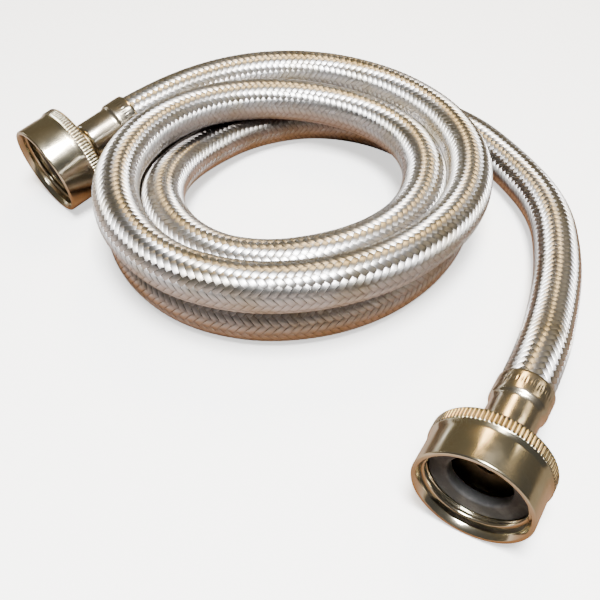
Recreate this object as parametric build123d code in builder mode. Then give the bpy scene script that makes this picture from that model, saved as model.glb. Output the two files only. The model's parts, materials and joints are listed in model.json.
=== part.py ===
"""Braided supply line: a flexible hose with a swivel nut on each end, lying in a loose coil.

Millimetres, +Z up, the hose and both nuts lie on the plane z = 0.
The origin is under the middle of the two end fittings' common box.
Each fitting is drawn by its station s, counted from the nut's mouth towards the hose.
"""

from build123d import *

import os
from math import cos, pi, radians, sin, tan

os.makedirs("parts", exist_ok=True)

# ---- hose ----
hose_dia = 14.0  # over the braid
braid_thickness = 0.7
liner_wall = 1.55
floor_clearance = 0.02  # keeps the lowest hose just off the plane that it lies on
liner_dia = hose_dia - 2 * braid_thickness
liner_bore = liner_dia - 2 * liner_wall

# ---- insert stem: its shank fills the liner, and everything else steps out from there ----
stem_wall = 1.15
barb_bite = 0.2
barb_count = 4
barb_pitch = 3.0
barb_margin = 1.0
swage_step = 0.25  # from the shank up to where the ferrule's end wall grips the stem
neck_step = 1.0  # from there up to the neck, which passes through the nut's web
flange_thickness = 1.6
shank_dia = liner_bore
barb_dia = shank_dia + 2 * barb_bite
flow_bore = shank_dia - 2 * stem_wall
neck_swage_dia = shank_dia + 2 * swage_step
neck_dia = neck_swage_dia + 2 * neck_step

# ---- coupling nut, built around its thread ----
thread_crest_dia = 24.9  # 3/4 in hose thread, over the crests of the nut's own thread
thread_entry_length = 1.3
thread_entry_bevel = 1.45
thread_end = 4.8
nut_length = 14.0
nut_wall = 2.55  # from the thread's crests to the outside
nut_ring_width = 3.4  # grip ring at the hose side
nut_ring_proud = 0.55
nut_edge_break = 0.4
ring_shoulder = 0.6  # length of the slope from the body up to the grip ring
web_thickness = 1.4
web_clearance = 0.3  # around the stem's neck, so that the nut swivels
stop_gap = 0.1
nut_mouth_dia = thread_crest_dia + 2 * nut_wall
nut_ring_dia = nut_mouth_dia + 2 * nut_ring_proud
thread_entry_dia = thread_crest_dia + 2 * thread_entry_bevel
web_hole_dia = neck_dia + 2 * web_clearance

# ---- washer, caught behind the thread, and the flange that it seals on ----
washer_thickness = 3.2
washer_hole_dia = 16.0
washer_bevel = 0.4
washer_gap = 0.2  # in front of the washer
washer_catch = 0.25  # how far the washer reaches out behind the thread's crests
pocket_clearance = 0.15
flange_clearance = 1.45
washer_dia = thread_crest_dia + 2 * washer_catch
relief_dia = washer_dia + 2 * pocket_clearance
flange_dia = relief_dia - 2 * flange_clearance

# ---- crimp ferrule over the hose ----
ferrule_length = 18.7
ferrule_wall = 0.5
ferrule_band_length = 6.3  # full-sized end, where the hose comes out
crimp_squeeze = 0.75  # how far the crimped collar presses the hose in, on the radius
crimp_slope = 1.2  # length of the slope from the collar up to the band
ferrule_end_wall = 1.2
ferrule_shoulder = 1.6  # rounding of the closed end
back_gap = 0.3  # left behind the nut when it is pushed right back
ferrule_band_dia = hose_dia + 2 * ferrule_wall
squeezed_hose_dia = hose_dia - 2 * crimp_squeeze
squeezed_liner_dia = liner_dia - 2 * crimp_squeeze
ferrule_collar_dia = squeezed_hose_dia + 2 * ferrule_wall

# ---- stations that follow from the sizes above ----
flange_back = nut_length - web_thickness - stop_gap
flange_front = flange_back - flange_thickness
washer_front = thread_end + washer_gap
washer_back = washer_front + washer_thickness
nut_play = flange_front - washer_back - 2 * stop_gap
ferrule_front = nut_length + nut_play + back_gap
ferrule_end = ferrule_front + ferrule_length
hose_start = ferrule_front + ferrule_end_wall
band_front = ferrule_end - ferrule_band_length
collar_back = band_front - crimp_slope
straight_out = 8.0
lead_in = ferrule_end + straight_out  # the hose runs straight out of the ferrule towards here

# ---- where the two fittings lie: mouth centre, heading from -Y towards -X, dip of the mouth ----
left_mouth_xy = (-68.0, 52.0)
left_heading = 48.0
left_dip = 11.0
right_mouth_xy = (53.5, -73.5)
right_heading = 30.0
right_dip = 2.5

# ---- coil: radius of the hose's line at every eighth of a turn, clockwise from +Y, top turns first ----
coil_centre = (20.0, 35.0)
coil_radius = (
    (70.5, 59.5, 48.0, 44.0, 49.5, 58.5, 61.5, 59.0),
    (52.5, 44.5, 33.5, 29.5, 32.0, 41.0, 50.0, 57.5),
    (62.5, 57.0, 43.0, 37.5, 42.0, 52.5, 62.5, 72.0, 77.0),
)
layer_gap = 0.4
layer_overlap = 1.0  # the upper layer starts this far down, so that the two are one solid
upper_layer_slack = 2.6  # the upper turns cross and lie loose, so their layer is deeper than the hose
coil_floor = hose_dia + layer_gap  # top of the turn that lies on the floor
coil_top = coil_floor + hose_dia + upper_layer_slack
left_tail = ((-9.0, 100.5, 23.5),)  # between the lead-in and the coil's first point
left_tail_joint_height = 22.5
right_tail = (
    (48.0, 107.0, 7.0),
    (74.0, 90.0, 7.5),
    (88.0, 66.0, 7.0),
    (96.0, 40.0, 8.0),
    (93.0, 13.0, 8.5),
    (85.0, -12.0, 11.0),
)
nut_parking_gap = 1.2  # coil solid kept clear of the left fitting
ferrule_parking_gap = 0.6


class Fitting:
    """The line of one end fitting, and the plane in which its pieces are drawn."""

    def __init__(self, name, mouth_xy, heading, dip):
        self.name = name
        flat, rise = cos(radians(dip)), sin(radians(dip))
        self.back = Vector(sin(radians(heading)) * flat, cos(radians(heading)) * flat, rise)
        on_mouth = nut_mouth_dia / 2 * flat
        on_ring = nut_ring_dia / 2 * flat - (nut_length - nut_ring_width) * rise
        self.mouth = Vector(*mouth_xy, max(on_mouth, on_ring))
        self.axis = Axis(self.mouth, self.back)
        radial = self.back.cross(Vector(0, 0, 1)).normalized()
        self.section = Plane(origin=self.mouth, x_dir=radial, z_dir=radial.cross(self.back))

    def at(self, station):
        return self.mouth + self.back * station

    def across(self, station):
        return Plane(origin=self.at(station), z_dir=self.back)


left = Fitting("left", left_mouth_xy, left_heading, left_dip)
right = Fitting("right", right_mouth_xy, right_heading, right_dip)


def save(part, name):
    part.label = name
    export_step(part, f"parts/{name}.step")
    box = part.bounding_box()
    solids = len(part.solids())
    print(f"{name}: {solids} solid, {part.volume:.0f} mm3, {box.min.Z:.2f} to {box.max.Z:.2f} high")
    return box


def coupling_nut(end):
    """Thin-walled female swivel nut: entry bevel, thread crest wall, washer pocket and a back web."""
    body_back = nut_length - nut_ring_width - ring_shoulder
    ring_back = nut_length - nut_edge_break
    with BuildPart() as nut:
        with BuildSketch(end.section):
            with BuildLine():
                Polyline(
                    (thread_entry_dia / 2, 0),
                    (nut_mouth_dia / 2 - nut_edge_break, 0),
                    (nut_mouth_dia / 2, nut_edge_break),
                    (nut_mouth_dia / 2, body_back),
                    (nut_ring_dia / 2, body_back + ring_shoulder),
                    (nut_ring_dia / 2, ring_back),
                    (nut_ring_dia / 2 - nut_edge_break, nut_length),
                    (web_hole_dia / 2, nut_length),
                    (web_hole_dia / 2, nut_length - web_thickness),
                    (relief_dia / 2, nut_length - web_thickness),
                    (relief_dia / 2, thread_end),
                    (thread_crest_dia / 2, thread_end),
                    (thread_crest_dia / 2, thread_entry_length),
                    close=True,
                )
            make_face()
        revolve(axis=end.axis)
    return save(nut.part, f"{end.name}_coupling_nut")


def sealing_washer(end):
    """Flat rubber washer, captive in the pocket behind the thread."""
    with BuildPart() as washer:
        with BuildSketch(end.section):
            with BuildLine():
                Polyline(
                    (washer_hole_dia / 2 + washer_bevel, washer_front),
                    (washer_dia / 2, washer_front),
                    (washer_dia / 2, washer_back),
                    (washer_hole_dia / 2, washer_back),
                    (washer_hole_dia / 2, washer_front + washer_bevel),
                    close=True,
                )
            make_face()
        revolve(axis=end.axis)
    return save(washer.part, f"{end.name}_sealing_washer")


def insert_stem(end):
    """Brass insert: sealing flange, neck through the nut's web, and a barbed shank inside the liner."""
    outline = [
        (flow_bore / 2, flange_front),
        (flange_dia / 2, flange_front),
        (flange_dia / 2, flange_back),
        (neck_dia / 2, flange_back),
        (neck_dia / 2, ferrule_front),
        (neck_swage_dia / 2, ferrule_front),
        (neck_swage_dia / 2, hose_start),
        (shank_dia / 2, hose_start),
    ]
    barb_front = hose_start + barb_margin
    outline.append((shank_dia / 2, barb_front))
    for _ in range(barb_count):
        outline.append((barb_dia / 2, barb_front))
        barb_front += barb_pitch
        outline.append((shank_dia / 2, barb_front))
    shank_end = barb_front + barb_margin
    outline += [(shank_dia / 2, shank_end), (flow_bore / 2, shank_end)]
    with BuildPart() as stem:
        with BuildSketch(end.section):
            with BuildLine():
                Polyline(*outline, close=True)
            make_face()
        revolve(axis=end.axis)
    return save(stem.part, f"{end.name}_insert_stem")


def crimp_ferrule(end):
    """Deep-drawn cup over the hose end: rounded closed end, crimped collar and full-sized band."""
    collar = ferrule_collar_dia / 2
    round_end = ferrule_front + ferrule_shoulder
    with BuildPart() as ferrule:
        with BuildSketch(end.section):
            with BuildLine():
                CenterArc((collar - ferrule_shoulder, round_end), ferrule_shoulder, -90, 90)
                Polyline(
                    (collar, round_end),
                    (collar, collar_back),
                    (ferrule_band_dia / 2, band_front),
                    (ferrule_band_dia / 2, ferrule_end),
                    (hose_dia / 2, ferrule_end),
                    (hose_dia / 2, band_front),
                    (squeezed_hose_dia / 2, collar_back),
                    (squeezed_hose_dia / 2, hose_start),
                    (neck_swage_dia / 2, hose_start),
                    (neck_swage_dia / 2, ferrule_front),
                    (collar - ferrule_shoulder, ferrule_front),
                )
            make_face()
        revolve(axis=end.axis)
    return save(ferrule.part, f"{end.name}_crimp_ferrule")


def hose_tube(name, end, route, outer, inner, squeezed_outer, squeezed_inner):
    """A hollow tube along straight runs joined by arcs as large as the runs allow.

    Its first stretch is the narrower one that the ferrule's collar squeezes.
    """
    runs = [b - a for a, b in zip(route, route[1:])]
    radii = []
    for before, after in zip(runs, runs[1:]):
        turn = radians(before.get_angle(after))
        radii.append(0.45 * min(before.length, after.length) / tan(turn / 2))
    with BuildPart() as tube:
        with BuildLine() as path:
            FilletPolyline(*route, radius=radii)
        with BuildSketch(end.across(hose_start)):
            Circle(outer / 2)
            Circle(inner / 2, mode=Mode.SUBTRACT)
        sweep(path=path.wire())
        line = path.wire().length
        share = tube.part.volume / (pi / 4 * (outer**2 - inner**2) * line)
        with BuildSketch(end.across(hose_start)):
            Circle(hose_dia)
        extrude(amount=band_front - hose_start, mode=Mode.SUBTRACT)
        with BuildSketch(end.section):
            with BuildLine():
                Polyline(
                    (squeezed_inner / 2, hose_start),
                    (squeezed_outer / 2, hose_start),
                    (squeezed_outer / 2, collar_back),
                    (outer / 2, band_front),
                    (inner / 2, band_front),
                    (squeezed_inner / 2, collar_back),
                    close=True,
                )
            make_face()
        revolve(axis=end.axis)
    print(f"{name}: line {line:.1f} mm, swept volume / (section x line) = {share:.4f}")
    print(f"{name}: runs {[round(r.length, 1) for r in runs]}, radii {[round(r, 1) for r in radii]}")
    save(tube.part, name)


def coil_point(turn, eighth, offset=0.0):
    angle = radians(45 * eighth)
    radius = coil_radius[turn][eighth] + offset
    return (coil_centre[0] + radius * sin(angle), coil_centre[1] + radius * cos(angle))


def arcs_through(points):
    """One arc for every two eighths of a turn."""
    for start, middle, end in zip(points[0::2], points[1::2], points[2::2]):
        ThreePointArc(start, middle, end)


def hose_coil():
    """The coil's outer shape: the floor turn, with the two upper turns lying on it.

    The floor turn widens, so it is drawn in two halves and its ends may lie side by side or meet.
    """
    half = hose_dia / 2
    upper_outer = [coil_point(0, k, half) for k in range(8)] + [coil_point(1, 0, half)]
    upper_inner = [coil_point(1, k, -half) for k in (*range(8), 0)]
    with BuildPart() as coil:
        for half_turn in (range(5), range(4, 9)):
            outer = [coil_point(2, k, half) for k in half_turn]
            inner = [coil_point(2, k, -half) for k in reversed(half_turn)]
            with BuildSketch(Plane.XY.offset(floor_clearance)):
                with BuildLine():
                    arcs_through(outer)
                    Line(outer[-1], inner[0])
                    arcs_through(inner)
                    Line(inner[-1], outer[0])
                make_face()
            extrude(amount=coil_floor - floor_clearance)
        with BuildSketch(Plane.XY.offset(coil_floor - layer_overlap)):
            with BuildLine():
                arcs_through(upper_outer)
                Line(upper_outer[-1], upper_outer[0])
            make_face()
            with BuildLine():
                arcs_through(upper_inner)
            make_face(mode=Mode.SUBTRACT)
        extrude(amount=coil_top - coil_floor + layer_overlap)
        with BuildSketch(left.across(-nut_parking_gap)):
            Circle(nut_ring_dia / 2 + nut_parking_gap)
        extrude(amount=nut_length + nut_play + 2 * nut_parking_gap, mode=Mode.SUBTRACT)
        with BuildSketch(left.across(ferrule_front)):
            Circle(ferrule_band_dia / 2 + ferrule_parking_gap)
        extrude(amount=ferrule_length + ferrule_parking_gap, mode=Mode.SUBTRACT)
    return save(coil.part, "hose_coil")


boxes = []
for end in (left, right):
    boxes.append(coupling_nut(end))
    boxes.append(sealing_washer(end))
    boxes.append(insert_stem(end))
    boxes.append(crimp_ferrule(end))

hose_coil()
left_joint = Vector(*coil_point(0, 0), left_tail_joint_height)
left_route = [left.at(hose_start), left.at(lead_in), *[Vector(*p) for p in left_tail], left_joint]
right_joint = Vector(*coil_point(2, 8), hose_dia / 2 + floor_clearance)
right_route = [right.at(hose_start), right.at(lead_in), *[Vector(*p) for p in right_tail[::-1]], right_joint]
for end, route in ((left, left_route), (right, right_route)):
    braid_sizes = (hose_dia, liner_dia, squeezed_hose_dia, squeezed_liner_dia)
    liner_sizes = (liner_dia, liner_bore, squeezed_liner_dia, liner_bore)
    hose_tube(f"{end.name}_braid_sleeve", end, route, *braid_sizes)
    hose_tube(f"{end.name}_liner_tube", end, route, *liner_sizes)

low = [min(getattr(b.min, k) for b in boxes) for k in "XYZ"]
high = [max(getattr(b.max, k) for b in boxes) for k in "XYZ"]
print("fittings' box", [round(v, 2) for v in low], [round(v, 2) for v in high])
print("nut play", round(nut_play, 3), "ferrule", round(ferrule_front, 2), "to", round(ferrule_end, 2))
for end in (left, right):
    print(end.name, "mouth", [round(v, 4) for v in end.mouth], "back", [round(v, 6) for v in end.back])
    print(end.name, "hose leaves the ferrule at", [round(v, 3) for v in end.at(ferrule_end)])
    print(end.name, "lead-in", [round(v, 3) for v in end.at(lead_in)])
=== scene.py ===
# %% [markdown]
# # A braided supply line
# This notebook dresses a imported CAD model: a steel-braided hose in a loose coil with a
# knurled swivel nut on each end. The frame holds the joints and the sizes. Everything
# here is in metres, in the frame's own axes, so each piece is made where it belongs.

import json
from math import atan2, ceil, cos, hypot, pi, radians, sin

import bmesh
import bpy
import numpy as np
from mathutils import Matrix, Vector


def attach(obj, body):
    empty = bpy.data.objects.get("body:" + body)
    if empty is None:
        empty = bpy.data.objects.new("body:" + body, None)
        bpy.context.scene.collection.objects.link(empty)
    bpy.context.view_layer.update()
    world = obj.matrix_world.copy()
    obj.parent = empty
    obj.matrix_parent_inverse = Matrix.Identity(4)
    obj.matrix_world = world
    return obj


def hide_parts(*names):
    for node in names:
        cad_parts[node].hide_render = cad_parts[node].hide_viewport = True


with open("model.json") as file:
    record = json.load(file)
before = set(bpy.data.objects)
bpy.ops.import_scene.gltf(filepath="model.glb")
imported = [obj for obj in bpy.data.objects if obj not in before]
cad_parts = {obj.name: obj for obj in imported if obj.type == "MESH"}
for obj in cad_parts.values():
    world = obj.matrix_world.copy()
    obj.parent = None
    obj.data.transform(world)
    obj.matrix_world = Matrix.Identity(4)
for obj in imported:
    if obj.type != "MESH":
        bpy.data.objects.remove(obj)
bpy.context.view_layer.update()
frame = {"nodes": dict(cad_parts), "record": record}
mm = 0.001
sides = ("left", "right")

# %% [markdown]
# ## Where the fittings lie
# Each end fitting is round about one line. The frame's thread mount gives that line: its
# place is the middle of the thread and its axis points out of the nut's mouth. A station
# is the distance from the mouth towards the hose, as on a maker's drawing.

# %% Fitting lines
thread_start = 1.3 * mm
thread_end = 4.8 * mm
hose_start = 18.0 * mm
lead_in = 43.5 * mm
mounts = {m["name"]: m for m in frame["record"]["mounts"]}


def fitting_line(side):
    """The centre of the nut's mouth, and the direction from there towards the hose."""
    mount = mounts[f"{side}_hose_thread"]
    back = -Vector(mount["axis"]).normalized()
    return Vector(mount["pos_m"]) - back * (thread_start + thread_end) / 2, back


def on_line(side, station):
    """The point of a fitting's own axis at a station."""
    mouth, back = fitting_line(side)
    return mouth + back * station


for side in sides:
    print(side, "mouth at", [round(v, 4) for v in on_line(side, 0)])

# %% [markdown]
# ## The camera
# The camera comes first, because a coil is judged by how its turns overlap from where
# the viewer stands. It looks down at the coil, with a lens a little longer than normal.

# %% Camera
camera_data = bpy.data.cameras.new("camera")
camera_data.lens = 52.8
camera_data.sensor_width = 36.0
camera_data.clip_start = 0.01
camera = bpy.data.objects.new("camera", camera_data)
camera.location = (0.0154, -0.1848, 0.1825)
camera.rotation_euler = (radians(46.41), 0, 0)
bpy.context.scene.collection.objects.link(camera)
bpy.context.scene.camera = camera
print("camera at", tuple(camera.location), "lens", camera_data.lens, "mm")

# %% [markdown]
# ## The hose's line
# A hose is one length of something springy, so its route is one smooth NURBS spline. Its
# two tails are a few listed points. The three turns are worked out by a loop:
# they share a centre, and their radius and height drift from one eighth of a turn to the
# next, because nothing ties them. The points between the eighths follow a four-point
# rule, which keeps a curve through its neighbours smooth.

# %% Route of the hose
coil_centre = Vector((20 * mm, 35 * mm, 0))
first_eighth = -1
coil_radius = (
    *(73.5,),
    *(70.5, 59.5, 48.0, 44.0, 49.5, 58.5, 61.5, 59.0),
    *(52.5, 44.5, 33.5, 29.5, 32.0, 41.0, 48.5, 54.0),
    *(62.0, 57.0, 43.0, 37.5, 42.0, 52.0, 60.3, 68.6, 77.0),
)
coil_height = (
    *(24.0,),
    *(22.5, 21.5, 22.5, 24.5, 25.5, 24.5, 25.0, 23.5),
    *(20.0, 18.5, 18.5, 19.5, 19.5, 17.5, 15.5, 9.5),
    *(7.5, 7.5, 7.5, 7.0, 7.5, 7.0, 7.0, 7.0, 7.0),
)
left_tail = [(-0.009, 0.1005, 0.0235)]
right_tail = [
    (0.048, 0.107, 0.007),
    (0.074, 0.090, 0.0075),
    (0.088, 0.066, 0.007),
    (0.096, 0.040, 0.008),
    (0.093, 0.013, 0.0085),
    (0.085, -0.012, 0.011),
]


def between(row, eighth):
    """The value half way to the next eighth, by the four-point rule."""
    before, start, end = row[eighth - 1], row[eighth], row[eighth + 1]
    after = row[min(eighth + 2, len(row) - 1)]
    return (9 * (start + end) - before - after) / 16


def coil_points():
    """Two control points for every eighth of a turn, clockwise from +Y."""
    points = []
    for eighth in range(1, len(coil_radius)):
        angle = radians(45 * (eighth + first_eighth))
        steps = [(angle, coil_radius[eighth], coil_height[eighth])]
        if eighth + 1 < len(coil_radius):
            middle = angle + radians(22.5)
            steps.append((middle, between(coil_radius, eighth), between(coil_height, eighth)))
        for heading, radius, height in steps:
            flat = Vector((sin(heading), cos(heading), 0)) * radius * mm
            points.append(coil_centre + flat + Vector((0, 0, height * mm)))
    return points


route = [on_line("left", hose_start), on_line("left", lead_in), *map(Vector, left_tail)]
route += coil_points()
route += [*map(Vector, right_tail), on_line("right", lead_in), on_line("right", hose_start)]
print(len(route), "control points")

# %% Spline through the route
curve = bpy.data.curves.new("hose_line", "CURVE")
curve.dimensions = "3D"
curve.resolution_u = 40
spline = curve.splines.new("NURBS")
spline.points.add(len(route) - 1)
for point, place in zip(spline.points, route):
    point.co = (*place, 1)
spline.order_u = 3
spline.use_endpoint_u = True
guide = bpy.data.objects.new("hose_line", curve)
bpy.context.scene.collection.objects.link(guide)
bpy.context.view_layer.update()
line_mesh = bpy.data.meshes.new_from_object(guide)
hose_line = np.array([v.co for v in line_mesh.vertices])
bpy.data.objects.remove(guide)
run = np.linalg.norm(np.diff(hose_line, axis=0), axis=1)
keep = np.append(True, run > 1e-7)
hose_line = hose_line[keep]
travel = np.append(0, np.cumsum(np.linalg.norm(np.diff(hose_line, axis=0), axis=1)))
hose_length = travel[-1]
print(f"hose line {hose_length:.4f} m in {len(hose_line)} points")

# %% [markdown]
# ## Wrapping things round the hose
# A braid is flat and regular before it is bent. So every strand is drawn on the unrolled
# hose, as a distance along it, an angle round it and a distance out from its middle, and
# then carried onto the bent line. The frame that it is carried with never twists: each
# step only tilts the one before it, as a hose does.

# %% Twist-free frame along the line
tangents = np.gradient(hose_line, travel, axis=0)
tangents /= np.linalg.norm(tangents, axis=1)[:, None]
normals = np.zeros_like(tangents)
normals[0] = np.cross(tangents[0], (0, 0, 1))
normals[0] /= np.linalg.norm(normals[0])
for i in range(1, len(tangents)):
    tilted = normals[i - 1] - tangents[i] * (normals[i - 1] @ tangents[i])
    normals[i] = tilted / np.linalg.norm(tilted)
binormals = np.cross(tangents, normals)
print("frame at the right end", normals[-1].round(3), binormals[-1].round(3))


def on_hose(along, angle, out):
    """Points of the unrolled hose, carried onto its bent line."""
    spread = []
    for table in (hose_line, normals, binormals):
        spread.append(np.stack([np.interp(along, travel, table[:, k]) for k in range(3)], 1))
    middle, across, up = spread
    return middle + out[:, None] * (np.cos(angle)[:, None] * across + np.sin(angle)[:, None] * up)


def sheet_of(steps_along, steps_round):
    """A flat grid from 0 to 1 each way, with the same numbers as its UV map."""
    grid = bmesh.new()
    grid.loops.layers.uv.new("UVMap")
    bmesh.ops.create_grid(
        grid, x_segments=steps_along, y_segments=steps_round, size=0.5, calc_uvs=True
    )
    bmesh.ops.translate(grid, verts=grid.verts, vec=(0.5, 0.5, 0))
    mesh = bpy.data.meshes.new("sheet")
    grid.to_mesh(mesh)
    grid.free()
    return mesh


def coordinates(mesh):
    """A mesh's points as an array."""
    flat = np.zeros(len(mesh.vertices) * 3)
    mesh.vertices.foreach_get("co", flat)
    return flat.reshape(-1, 3)


def close_up(bm, merge=1e-7):
    """Welds the seam, fills the ends and turns every face outwards."""
    bmesh.ops.remove_doubles(bm, verts=bm.verts, dist=merge)
    bmesh.ops.holes_fill(bm, edges=[e for e in bm.edges if e.is_boundary], sides=0)
    bmesh.ops.recalc_face_normals(bm, faces=bm.faces)


def as_piece(bm, name, body, material):
    """Makes a finished object of a bmesh: shaded smooth, riding on a body, with its material."""
    mesh = bpy.data.meshes.new(name)
    bm.to_mesh(mesh)
    bm.free()
    mesh.shade_smooth()
    mesh.materials.append(material)
    piece = bpy.data.objects.new(name, mesh)
    bpy.context.scene.collection.objects.link(piece)
    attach(piece, body)
    triangles = sum(len(p.vertices) - 2 for p in mesh.polygons)
    print(f"{name}: {triangles} triangles on {body}")
    return piece


# %% [markdown]
# ## Finishes: a few shared effects
# Metal looks real through small differences: a tarnish that comes and goes, and fine lines
# left by a tool. Each of these is a node group that gives a mask or a height, and every
# material uses it with its own numbers. The darkening in creases, grooves and dents is painted
# shade.

# %% Node helpers


def new_group(name, inputs, outputs):
    """An empty shader node group with float inputs and outputs, and its two end nodes."""
    group = bpy.data.node_groups.new(name, "ShaderNodeTree")
    for label, kind in inputs:
        group.interface.new_socket(label, in_out="INPUT", socket_type=kind)
    for label, kind in outputs:
        group.interface.new_socket(label, in_out="OUTPUT", socket_type=kind)
    return group, group.nodes.new("NodeGroupInput"), group.nodes.new("NodeGroupOutput")


def math_node(tree, operation, *values):
    """A Math node fed with numbers or sockets."""
    node = tree.nodes.new("ShaderNodeMath")
    node.operation = operation
    for socket, value in zip(node.inputs, values):
        if isinstance(value, bpy.types.NodeSocket):
            tree.links.new(value, socket)
        else:
            socket.default_value = value
    return node.outputs[0]


def mix_colour(tree, factor, first, second):
    """A colour Mix node: the factor is a socket, and each colour is a socket or four numbers."""
    node = tree.nodes.new("ShaderNodeMix")
    node.data_type = "RGBA"
    tree.links.new(factor, node.inputs["Factor"])
    for socket, value in ((node.inputs[6], first), (node.inputs[7], second)):
        if isinstance(value, bpy.types.NodeSocket):
            tree.links.new(value, socket)
        else:
            socket.default_value = value
    return node.outputs[2]


def placed_group(tree, group, **values):
    """A group placed in a material with its own numbers."""
    node = tree.nodes.new("ShaderNodeGroup")
    node.node_tree = group
    for label, value in values.items():
        socket = node.inputs[label.replace("_", " ")]
        if isinstance(value, bpy.types.NodeSocket):
            tree.links.new(value, socket)
        else:
            socket.default_value = value
    return node.outputs


# %% Group: cloudy tarnish
tarnish, g_in, g_out = new_group(
    "cloudy_tarnish",
    [("Size", "NodeSocketFloat"), ("From", "NodeSocketFloat"), ("To", "NodeSocketFloat")],
    [("Mask", "NodeSocketFloat")],
)
place = tarnish.nodes.new("ShaderNodeTexCoord")
cloud = tarnish.nodes.new("ShaderNodeTexNoise")
cloud.inputs["Detail"].default_value = 4.0
cloud.inputs["Roughness"].default_value = 0.6
tarnish.links.new(place.outputs["Object"], cloud.inputs["Vector"])
tarnish.links.new(g_in.outputs["Size"], cloud.inputs["Scale"])
level = tarnish.nodes.new("ShaderNodeMapRange")
level.interpolation_type = "SMOOTHSTEP"
tarnish.links.new(cloud.outputs["Fac"], level.inputs["Value"])
tarnish.links.new(g_in.outputs["From"], level.inputs["From Min"])
tarnish.links.new(g_in.outputs["To"], level.inputs["From Max"])
tarnish.links.new(level.outputs["Result"], g_out.inputs["Mask"])

# %% Group: fine specks and scratches, as a height
specks, g_in, g_out = new_group(
    "fine_specks",
    [("Size", "NodeSocketFloat"), ("Stretch", "NodeSocketVector")],
    [("Height", "NodeSocketFloat")],
)
place = specks.nodes.new("ShaderNodeTexCoord")
stretched = specks.nodes.new("ShaderNodeMapping")
grains = specks.nodes.new("ShaderNodeTexNoise")
grains.inputs["Detail"].default_value = 3.0
specks.links.new(place.outputs["Object"], stretched.inputs["Vector"])
specks.links.new(g_in.outputs["Stretch"], stretched.inputs["Scale"])
specks.links.new(stretched.outputs["Vector"], grains.inputs["Vector"])
specks.links.new(g_in.outputs["Size"], grains.inputs["Scale"])
specks.links.new(grains.outputs["Fac"], g_out.inputs["Height"])
print("groups", [g.name for g in bpy.data.node_groups])

# %% Material maker


def metal(name, colour, roughness, anisotropic=0.0):
    """A metallic material, its node tree and its shader."""
    material = bpy.data.materials.new(name)
    material.use_nodes = True
    tree = material.node_tree
    shader = tree.nodes["Principled BSDF"]
    shader.inputs["Base Color"].default_value = (*colour, 1)
    shader.inputs["Metallic"].default_value = 1.0
    shader.inputs["Roughness"].default_value = roughness
    shader.inputs["Anisotropic"].default_value = anisotropic
    return material, tree, shader


def bump_into(tree, shader, height, strength, distance):
    """Feeds a height to the shader's normal."""
    bump = tree.nodes.new("ShaderNodeBump")
    bump.inputs["Strength"].default_value = strength
    bump.inputs["Distance"].default_value = distance
    tree.links.new(height, bump.inputs["Height"])
    tree.links.new(bump.outputs["Normal"], shader.inputs["Normal"])


# %% [markdown]
# ## Finish: drawn steel wire
# Each strand of the braid is a flat ribbon of parallel wires. Light spreads across the
# wires and not along them, so the shader is anisotropic, with its direction taken from
# the ribbon's own UV map: U runs along the strand, and V goes round it, so its first
# half is the outside. The wires themselves are a fine ribbed height.

# %% Steel braid
wires_per_strand = 7
braid_steel, tree, shader = metal("steel_braid", (0.66, 0.64, 0.62), 0.42, 0.92)
shader.inputs["Anisotropic Rotation"].default_value = 0.25
uv = tree.nodes.new("ShaderNodeUVMap")
uv.uv_map = "UVMap"
tangent = tree.nodes.new("ShaderNodeTangent")
tangent.direction_type = "UV_MAP"
tangent.uv_map = "UVMap"
tree.links.new(tangent.outputs["Tangent"], shader.inputs["Tangent"])
split = tree.nodes.new("ShaderNodeSeparateXYZ")
tree.links.new(uv.outputs["UV"], split.inputs["Vector"])
half_turns = math_node(tree, "MULTIPLY", split.outputs["Y"], 2 * wires_per_strand * pi)
ribs = math_node(tree, "ABSOLUTE", math_node(tree, "SINE", half_turns))
bump_into(tree, shader, ribs, 0.15, 0.00004)
# Painted shade: the steel's colour darkens towards near black where a strand dives under another
# and where another turn lies close above or below.
crevice_shade = tree.nodes.new("ShaderNodeAttribute")
crevice_shade.attribute_name = "crevice_shade"
unshaded_steel = mix_colour(
    tree,
    placed_group(tree, tarnish, Size=60.0, From=0.42, To=0.68)["Mask"],
    (0.72, 0.71, 0.71, 1),
    (0.60, 0.56, 0.48, 1),
)
shaded_colour = mix_colour(tree, crevice_shade.outputs["Fac"], unshaded_steel, (0.05, 0.035, 0.025, 1))
tree.links.new(shaded_colour, shader.inputs["Base Color"])

# %% Dark liner under the braid
liner_rubber = bpy.data.materials.new("liner_rubber")
liner_rubber.use_nodes = True
tree = liner_rubber.node_tree
shader = tree.nodes["Principled BSDF"]
shader.inputs["Roughness"].default_value = 0.7
shade = mix_colour(
    tree,
    placed_group(tree, tarnish, Size=90.0, From=0.3, To=0.7)["Mask"],
    (0.035, 0.03, 0.025, 1),
    (0.07, 0.055, 0.04, 1),
)
tree.links.new(shade, shader.inputs["Base Color"])

# %% [markdown]
# ## The squeeze under the collars
# A crimped ferrule bites into the hose, so the liner and the braid are narrower there. One
# function says by how much, and both use it.

# %% Squeeze under the ferrules
crimp_squeeze = 0.75 * mm
collar_back = 28.0 * mm
band_front = 29.2 * mm


def squeezed(along):
    """How far the crimped collars press the hose in, at a distance along it."""
    station = hose_start + np.minimum(along, hose_length - along)
    return crimp_squeeze * np.clip((band_front - station) / (band_front - collar_back), 0, 1)


# %% [markdown]
# ## The liner tube
# Under the braid lies the liner, a plain polymer tube. It shows only as the dark between
# the strands, so a mesh tube along the line is enough.

# %% Liner
liner_out = 6.5 * mm
liner_steps = 700
liner_sides = 20


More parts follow.
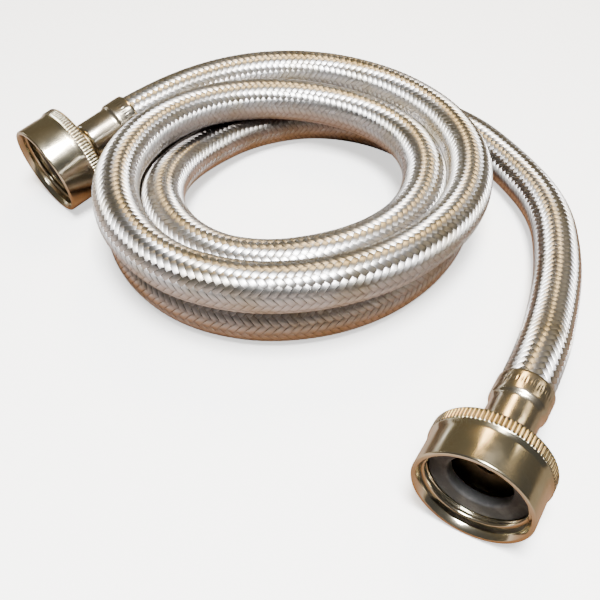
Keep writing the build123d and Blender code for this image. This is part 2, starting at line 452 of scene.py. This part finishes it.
def liner_tube():
    """The liner as a closed tube along the whole line."""
    sheet = sheet_of(liner_steps, liner_sides)
    flat = coordinates(sheet)
    angle = -2 * pi * flat[:, 1]
    along = flat[:, 0] * hose_length
    sheet.vertices.foreach_set("co", on_hose(along, angle, liner_out - squeezed(along)).ravel())
    bm = bmesh.new()
    bm.from_mesh(sheet)
    bpy.data.meshes.remove(sheet)
    close_up(bm)
    return as_piece(bm, "hose_liner", "hose", liner_rubber)


hose_liner = liner_tube()
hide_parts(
    "hose_coil",
    "left_braid_sleeve",
    "left_liner_tube",
    "right_braid_sleeve",
    "right_liner_tube",
)

# %% [markdown]
# ## The braid
# Sixteen flat strands wind each way, two over and two under. Where the over-passes stack
# up they make the columns of chevrons that run along such a hose. It could be a bump on a
# tube, but then the outline would be smooth and the strands would cast no shadow, so each
# strand is a real ribbon here. One flat grid serves for all of them: its length is the
# strand's length, and its width is wrapped into the ribbon's closed outline.

# %% Braid sizes
strands_each_way = 16
braid_lead = 35.6 * mm
over_out = 6.98 * mm
under_drop = 0.22 * mm
steps_per_crossing = 2
strands_per_piece = 4
lead_angle = atan2(2 * pi * over_out, braid_lead)
strand_fill = 0.975
strand_width = strand_fill * braid_lead / strands_each_way * sin(lead_angle)
strand_thickness = 0.16 * mm
strand_crown = 0.13 * mm
crossing_run = braid_lead / (2 * strands_each_way)
ribbon_across = np.array([-0.5, -0.37, 0.37, 0.5, 0.44, -0.44, -0.5]) * strand_width
ribbon_down = np.array([strand_crown, 0, 0, strand_crown, 0, 0, strand_crown])
ribbon_down[4:6] = strand_thickness
ribbon_faces = len(ribbon_across) - 1
# Painted shade where a strand dives under another.
under_shade = 0.7
braid_steps = ceil(hose_length / crossing_run * steps_per_crossing)
print("braid steps", braid_steps, "crossing every", round(crossing_run / mm, 3), "mm")

# %% [markdown]
# ## Painted shade between the turns
# Where one turn lies over another, the crease between them is in shade, and that shade is
# painted into the strands' colour. A map of it is worked out once, for a coarse grid on the
# hose: it is 1 where another turn touches and fades to 0 over a few millimetres. Turns that
# lie side by side don't count, and neither does a place's own stretch of hose.

# %% Painted contact shade map
shade_steps, shade_sides = 700, 36
shade_reach = 9.0 * mm
stacked_height = 12.0 * mm
same_turn = 60.0 * mm


def contact_shade_map():
    """0 to 1, nearest at 1, for places that lie under or over another turn."""
    along = np.repeat(np.linspace(0, hose_length, shade_steps), shade_sides)
    angle = np.tile(np.arange(shade_sides) * 2 * pi / shade_sides, shade_steps)
    surface = on_hose(along, angle, np.full(len(along), over_out))
    height = np.interp(along, travel, hose_line[:, 2])
    nearest = np.full(len(along), 1.0)
    for place, station in zip(hose_line[::8], travel[::8]):
        other_turn = np.abs(along - station) > same_turn
        stacked = np.abs(height - place[2]) > stacked_height
        distance = np.linalg.norm(surface - place, axis=1)
        nearest = np.where(other_turn & stacked, np.minimum(nearest, distance), nearest)
    gap = nearest - over_out
    return np.clip(1 - gap / shade_reach, 0, 1).reshape(shade_steps, shade_sides)


contact_shade = contact_shade_map()
print("darkened share of the surface", round(float((contact_shade > 0.3).mean()), 3))

# %% [markdown]
# ## One strand
# A strand goes over two others and under two, so its height repeats every four crossings.
# Its painted shade is the larger of two: some where it dives under, and the contact shade map's.

# %% Weave


def weave_height(crossing):
    """1 over and 0 under, with a slope between, for a place counted in crossings."""
    phase = np.mod(crossing, 4)
    return np.clip(1.5 - np.abs(phase - 0.5), 0, 1) + np.clip(phase - 3, 0, 1)


def strand(sheet, flat, number, way):
    """One strand's points, from the grid's: way is 1 or -1 for the winding's direction."""
    along = flat[:, 0] * hose_length
    column = np.rint(flat[:, 1] * ribbon_faces).astype(int)
    offset = ribbon_across[column]
    crossing = along / crossing_run
    if way > 0:
        lifted = weave_height(2 * number + crossing)
    else:
        lifted = 1 - weave_height(2 * number - crossing)
    out = over_out - under_drop * (1 - lifted) - ribbon_down[column] - squeezed(along)
    angle = 2 * pi * (number / strands_each_way + way * along / braid_lead)
    angle += way * offset * cos(lead_angle) / over_out
    along = np.clip(along - offset * sin(lead_angle), 0, hose_length)
    row = np.rint(along / hose_length * (shade_steps - 1)).astype(int)
    side = np.rint(angle / (2 * pi) * shade_sides).astype(int) % shade_sides
    return on_hose(along, angle, out), np.maximum(under_shade * (1 - lifted), contact_shade[row, side])


def braid_piece(sheet, flat, name, numbers, way):
    """Several strands as one piece."""
    layer = sheet.attributes["crevice_shade"].data
    bm = bmesh.new()
    for number in numbers:
        points, shade_share = strand(sheet, flat, number, way)
        sheet.vertices.foreach_set("co", points.ravel())
        layer.foreach_set("value", shade_share.astype(np.float32))
        bm.from_mesh(sheet)
    close_up(bm, 1e-8)
    as_piece(bm, name, "hose", braid_steel)


# %% Make the strands
sheet = sheet_of(braid_steps, ribbon_faces)
sheet.attributes.new("crevice_shade", "FLOAT", "POINT")
flat = coordinates(sheet)
for way, winding in ((1, "right_hand"), (-1, "left_hand")):
    for first in range(0, strands_each_way, strands_per_piece):
        numbers = range(first, first + strands_per_piece)
        name = f"braid_{winding}_strands_{first // strands_per_piece + 1}"
        braid_piece(sheet, flat, name, numbers, way)
bpy.data.meshes.remove(sheet)

# %% [markdown]
# ## Finish: nickel plate on brass
# The nuts and ferrules are turned brass with a thin nickel plate that has yellowed. It is
# smooth, so it mirrors the room in soft bands, with the brass showing through in clouds.

# %% Plated brass


def plating(name, clear, worn, roughness, cloud_size):
    """Smooth plate with cloudy wear, and painted shade in the grooves and dents that an attribute
    of the piece marks.
    """
    material, tree, shader = metal(name, clear, roughness)
    cloud = placed_group(tree, tarnish, Size=cloud_size, From=0.40, To=0.66)["Mask"]
    plate = mix_colour(tree, cloud, (*clear, 1), (*worn, 1))
    # Painted shade: the plate's colour darkens to a dark brown where the piece's attribute marks
    # a groove or dent.
    crevice_shade = tree.nodes.new("ShaderNodeAttribute")
    crevice_shade.attribute_name = "crevice_shade"
    shaded_colour = mix_colour(tree, crevice_shade.outputs["Fac"], plate, (0.07, 0.045, 0.02, 1))
    tree.links.new(shaded_colour, shader.inputs["Base Color"])
    dull = math_node(tree, "MULTIPLY_ADD", cloud, 0.10, roughness)
    tree.links.new(dull, shader.inputs["Roughness"])
    grain = placed_group(tree, specks, Size=900.0, Stretch=(1, 1, 1))["Height"]
    bump_into(tree, shader, grain, 0.06, 0.00003)
    return material


nut_plate = plating("nut_plating", (0.60, 0.55, 0.42), (0.50, 0.43, 0.29), 0.13, 70.0)
ferrule_plate = plating("ferrule_plating", (0.60, 0.55, 0.45), (0.50, 0.43, 0.32), 0.15, 110.0)
# The stem's brass is dark and dull: partly its own tone, and partly painted shade for the deep
# mouth of the nut, where it shows.
stem_brass = plating("stem_brass", (0.34, 0.26, 0.15), (0.18, 0.14, 0.09), 0.38, 90.0)

# %% Washer rubber
washer_rubber = bpy.data.materials.new("washer_rubber")
washer_rubber.use_nodes = True
tree = washer_rubber.node_tree
shader = tree.nodes["Principled BSDF"]
shader.inputs["Roughness"].default_value = 0.7
shader.inputs["Specular IOR Level"].default_value = 0.2
dusty = placed_group(tree, tarnish, Size=160.0, From=0.4, To=0.7)["Mask"]
tone = mix_colour(tree, dusty, (0.060, 0.060, 0.061, 1), (0.12, 0.118, 0.113, 1))
tree.links.new(tone, shader.inputs["Base Color"])
grain = placed_group(tree, specks, Size=1400.0, Stretch=(1, 1, 1))["Height"]
bump_into(tree, shader, grain, 0.25, 0.00005)

# %% [markdown]
# ## Turning the round pieces
# Nuts, washers and ferrules come off a lathe or a press, so each starts as a closed
# outline of radius and station that is spun once round, and its sharp rings are bevelled.
# What isn't round, such as teeth or dents, is pressed into the spun surface afterwards.

# %% Lathe


def placement(side):
    """Turns local Z into the fitting's line, with the mouth at its origin."""
    mouth, back = fitting_line(side)
    across = back.cross(Vector((0, 0, 1))).normalized()
    up = across.cross(back)
    rotation = Matrix((across, -up, back)).transposed().to_4x4()
    return Matrix.Translation(mouth) @ rotation


def turned(outline, steps, bevel=0.12 * mm, rounds=2):
    """Spins a closed outline of (radius, station), in millimetres, round local Z."""
    bm = bmesh.new()
    ring = [bm.verts.new((radius * mm, 0, station * mm)) for radius, station in outline]
    edges = [bm.edges.new(pair) for pair in zip(ring, ring[1:] + ring[:1])]
    bmesh.ops.spin(
        bm, geom=ring + edges, cent=(0, 0, 0), axis=(0, 0, 1),
        angle=2 * pi, steps=steps, use_merge=True,
    )
    bmesh.ops.remove_doubles(bm, verts=bm.verts, dist=1e-7)
    bmesh.ops.recalc_face_normals(bm, faces=bm.faces)
    sharp = [e for e in bm.edges if len(e.link_faces) == 2 and e.calc_face_angle() > radians(25)]
    if bevel:
        bmesh.ops.bevel(
            bm, geom=sharp, affect="EDGES", offset=bevel, segments=rounds,
            profile=0.5, material=-1, clamp_overlap=True,
        )
    return bm


def press(bm, shape, deepest, shade_share):
    """Moves each point by shape(angle, station, radius) millimetres along its own radius.

    The attribute made here gets the given share of painted shade where the shape is deepest, and
    0 elsewhere.
    """
    crevice_shade = bm.verts.layers.float.new("crevice_shade")
    for v in bm.verts:
        radius = hypot(v.co.x, v.co.y)
        moved = shape(atan2(v.co.y, v.co.x), v.co.z / mm, radius / mm)
        v.co.x *= 1 + moved * mm / radius
        v.co.y *= 1 + moved * mm / radius
        v[crevice_shade] = shade_share * min(1, -moved / deepest)


# %% [markdown]
# ## The coupling nut
# The nut is a thin cup with a thread cut into its mouth, a pocket for the washer and a web
# at the back. Its grip ring has fine straight teeth. The thread is its own closed ridge,
# spun with a lift on each step, and it fades out at both ends.

# %% Nut
teeth = 90
steps_per_tooth = 6
tooth_depth = 0.42
ring_front, ring_back = 10.45, 13.7
grip_radius = 15.4
groove_power = 1.3
nut_outline = [
    (13.9, 0), (14.7, 0), (15.0, 0.35), (15.0, 8.9), (15.06, 9.5), (15.22, 9.95),
    (15.3, 10.4), (15.55, 10.6), (15.55, 11.2), (15.55, 12.8), (15.55, 13.55), (15.1, 14.0),
    (6.3, 14.0), (6.3, 12.6), (12.85, 12.6), (12.85, 4.95), (13.1, 4.8), (13.1, 1.5),
]
thread_root, thread_crest = 13.2, 12.45
thread_pitch = 2.209
thread_from, thread_to = 1.9, 4.4
thread_steps = 72
ridge_share, ridge_flat = 0.44, 0.15
fade_in_from, fade_in_run = 0.9, 0.7
fade_out_to, fade_out_run = 5.0, 0.5


def knurl(angle, station, radius):
    """Straight teeth on the grip ring."""
    if radius < grip_radius or not ring_front < station < ring_back:
        return 0
    return -tooth_depth * max(0, cos(teeth * angle)) ** groove_power


def thread_ridge():
    """One right-hand thread ridge, standing in from the wall."""
    turns = (thread_to - thread_from) / thread_pitch
    steps = ceil(thread_steps * turns)
    half = thread_pitch * ridge_share
    profile = [
        (thread_root, thread_from - half), (thread_crest, thread_from - ridge_flat),
        (thread_crest, thread_from + ridge_flat), (thread_root, thread_from + half),
    ]
    bm = bmesh.new()
    ring = [bm.verts.new((radius * mm, 0, station * mm)) for radius, station in profile]
    edges = [bm.edges.new(pair) for pair in zip(ring, ring[1:] + ring[:1])]
    bmesh.ops.spin(
        bm, geom=ring + edges, cent=(0, 0, 0), axis=(0, 0, 1),
        dvec=(0, 0, thread_pitch * turns / steps * mm), angle=-2 * pi * turns, steps=steps,
    )
    for v in bm.verts:
        radius, station = hypot(v.co.x, v.co.y) / mm, v.co.z / mm
        grown = min(1, max(0, (station - fade_in_from) / fade_in_run))
        fade = grown * min(1, max(0, (fade_out_to - station) / fade_out_run))
        wanted = thread_root + (radius - thread_root) * fade
        v.co.x *= wanted / radius
        v.co.y *= wanted / radius
    close_up(bm, 1e-8)
    return bm


def coupling_nut(side):
    """Cup, teeth and thread as one piece."""
    bm = turned(nut_outline, teeth * steps_per_tooth)
    # The knurl's grooves get painted shade, darkest at their bottoms.
    press(bm, knurl, tooth_depth, shade_share=0.9)
    ridge = bpy.data.meshes.new("ridge")
    thread = thread_ridge()
    thread.to_mesh(ridge)
    thread.free()
    bm.from_mesh(ridge)
    bpy.data.meshes.remove(ridge)
    bm.transform(placement(side))
    nut = as_piece(bm, f"{side}_nut", f"{side}_nut", nut_plate)
    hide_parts(f"{side}_coupling_nut")


for side in sides:
    coupling_nut(side)

# %% [markdown]
# ## The washer
# A moulded flat washer has soft edges, and a slightly raised lip round its hole.

# %% Washer
washer_steps = 120
washer_outline = [
    (8.0, 5.35), (8.35, 5.0), (9.2, 5.06), (9.6, 5.12), (12.3, 5.08), (12.7, 5.3),
    (12.7, 7.9), (12.4, 8.2), (8.4, 8.2), (8.0, 7.9),
]


def sealing_washer(side):
    """Flat rubber ring with soft edges."""
    bm = turned(washer_outline, washer_steps)
    bm.transform(placement(side))
    piece = as_piece(bm, f"{side}_washer", f"{side}_washer", washer_rubber)
    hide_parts(f"{side}_sealing_washer")


for side in sides:
    sealing_washer(side)

# %% [markdown]
# ## The crimp ferrule
# The ferrule is a drawn cup. Its closed end is rounded. The collar is crimped, so it is
# narrower than the hose, and it swells back over a smooth shoulder to the full-sized band,
# which carries a row of small plain dents.

# %% Ferrule
collar_out, band_out = 6.75, 7.54
end_radius, end_centre = 1.6, 18.4
end_round = [
    (collar_out - end_radius * (1 - sin(a)), end_centre - end_radius * cos(a))
    for a in (0, 0.4, 0.8, 1.2, pi / 2)
]
ferrule_outline = [
    (5.0, 16.8), *end_round, (collar_out, 22.5), (collar_out, 27.2), (6.8, 27.75), (6.94, 28.15),
    (7.2, 28.55), (7.42, 28.85), (7.52, 29.25),
    *[(band_out, 29.7 + 0.45 * k) for k in range(12)],
    (7.5, 35.3), (7.3, 35.5), (6.9, 35.5), (6.9, 29.2), (6.15, 28.0), (6.15, 18.1), (5.0, 18.1),
]
dents = 44
steps_per_dent = 6
dent_depth = 0.08
dents_from, dents_to = 30.9, 33.6
band_from = 7.4


def crimp_marks(angle, station, radius):
    """A row of small shallow dents round the band."""
    if radius < band_from or not dents_from < station < dents_to:
        return 0
    across = sin(pi * (station - dents_from) / (dents_to - dents_from))
    return -dent_depth * across * max(0, cos(dents * angle))


def crimp_ferrule(side):
    """Drawn cup with its crimped collar and its band."""
    bm = turned(ferrule_outline, dents * steps_per_dent, bevel=0)
    # The dents get a little painted shade, darkest at their bottoms.
    press(bm, crimp_marks, dent_depth, shade_share=0.35)
    bm.transform(placement(side))
    piece = as_piece(bm, f"{side}_ferrule", "hose", ferrule_plate)
    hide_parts(f"{side}_crimp_ferrule")


for side in sides:
    crimp_ferrule(side)
    stem = frame["nodes"][f"{side}_insert_stem"]
    stem.data.materials.clear()
    stem.data.materials.append(stem_brass)

# %% [markdown]
# ## Floor and light
# Polished metal shows what stands round it, so the light matters as much as the finish. A
# pale floor gives the white ground. One large soft lamp in front gives the hose two bright
# bands, one for each way that the strands wind, and a golden lamp behind warms what lies
# between them. The floor's reflections are darker than the floor itself, brown close by and
# darkest on the right, as from a bench with something dark standing beside it.

# %% Floor
floor_glow = 1.1
floor_mesh = bpy.data.meshes.new("floor")
bm = bmesh.new()
bmesh.ops.create_grid(bm, x_segments=1, y_segments=1, size=3.0)
bm.to_mesh(floor_mesh)
bm.free()
floor = bpy.data.objects.new("floor", floor_mesh)
floor.location.z = -0.0002
bpy.context.scene.collection.objects.link(floor)
floor_paint = bpy.data.materials.new("floor_paint")
floor_paint.use_nodes = True
tree = floor_paint.node_tree
shader = tree.nodes["Principled BSDF"]
shader.inputs["Roughness"].default_value = 0.9
shader.inputs["Specular IOR Level"].default_value = 0.0
ray = tree.nodes.new("ShaderNodeLightPath")
near = tree.nodes.new("ShaderNodeMapRange")
near.inputs["From Min"].default_value = 0.012
near.inputs["From Max"].default_value = 0.06
tree.links.new(ray.outputs["Ray Length"], near.inputs["Value"])
place = tree.nodes.new("ShaderNodeTexCoord")
split = tree.nodes.new("ShaderNodeSeparateXYZ")
tree.links.new(place.outputs["Object"], split.inputs["Vector"])
right_side = tree.nodes.new("ShaderNodeMapRange")
right_side.inputs["From Min"].default_value = 0.05
right_side.inputs["From Max"].default_value = 0.11
tree.links.new(split.outputs["X"], right_side.inputs["Value"])
open_bench = mix_colour(
    tree, right_side.outputs["Result"], (0.27, 0.235, 0.215, 1), (0.10, 0.085, 0.065, 1)
)
bench = mix_colour(tree, near.outputs["Result"], (0.13, 0.066, 0.034, 1), open_bench)
seen = mix_colour(tree, ray.outputs["Is Camera Ray"], bench, (0.95, 0.95, 0.94, 1))
tree.links.new(seen, shader.inputs["Base Color"])
shader.inputs["Emission Color"].default_value = (1, 1, 0.99, 1)
glow = math_node(tree, "MULTIPLY", ray.outputs["Is Camera Ray"], floor_glow)
tree.links.new(glow, shader.inputs["Emission Strength"])
floor_mesh.materials.append(floor_paint)
print("floor glow", floor_glow)

# %% Lamps


def lamp(name, place, aim, width, length, power, colour=(1, 1, 1)):
    """A rectangular soft lamp that faces a point."""
    data = bpy.data.lights.new(name, "AREA")
    data.shape = "RECTANGLE"
    data.size = width
    data.size_y = length
    data.energy = power
    data.color = colour
    made = bpy.data.objects.new(name, data)
    made.location = place
    made.rotation_euler = (Vector(aim) - Vector(place)).to_track_quat("-Z", "Y").to_euler()
    bpy.context.scene.collection.objects.link(made)


lamp("window_lamp", (0.04, -0.24, 0.66), (0.02, 0.02, 0), 0.20, 0.26, 24.0)
lamp("ceiling_lamp", (0.12, -0.02, 0.72), (0.02, 0.02, 0), 0.10, 0.10, 1.0)
lamp("back_lamp", (0.10, 0.40, 0.60), (0.04, -0.05, 0), 0.14, 0.26, 3.0, (1.0, 0.68, 0.30))
lamp("right_lamp", (0.70, 0.10, 0.50), (0.04, 0, 0), 0.10, 0.30, 0.5, (1.0, 0.80, 0.50))
lamp("left_lamp", (-0.60, 0.40, 0.20), (0, 0.03, 0), 0.06, 0.30, 0.25)
world = bpy.data.worlds.new("room")
world.use_nodes = True
tree = world.node_tree
ray = tree.nodes.new("ShaderNodeLightPath")
place = tree.nodes.new("ShaderNodeTexCoord")
split = tree.nodes.new("ShaderNodeSeparateXYZ")
tree.links.new(place.outputs["Generated"], split.inputs["Vector"])
back_wall = tree.nodes.new("ShaderNodeMapRange")
back_wall.interpolation_type = "SMOOTHSTEP"
back_wall.inputs["From Min"].default_value = -0.3
back_wall.inputs["From Max"].default_value = 0.5
tree.links.new(split.outputs["Y"], back_wall.inputs["Value"])
walls = mix_colour(
    tree, back_wall.outputs["Result"], (0.12, 0.12, 0.12, 1), (0.24, 0.205, 0.14, 1)
)
room = mix_colour(tree, ray.outputs["Is Glossy Ray"], (0.10, 0.10, 0.10, 1), walls)
tree.links.new(room, tree.nodes["Background"].inputs["Color"])
tree.nodes["Background"].inputs["Strength"].default_value = 0.8
bpy.context.scene.world = world
print("lamps", [data.name for data in bpy.data.lights])

# %% [markdown]
# ## Sizes
# The view layer is brought up to date.

# %% Sizes
bpy.context.view_layer.update()
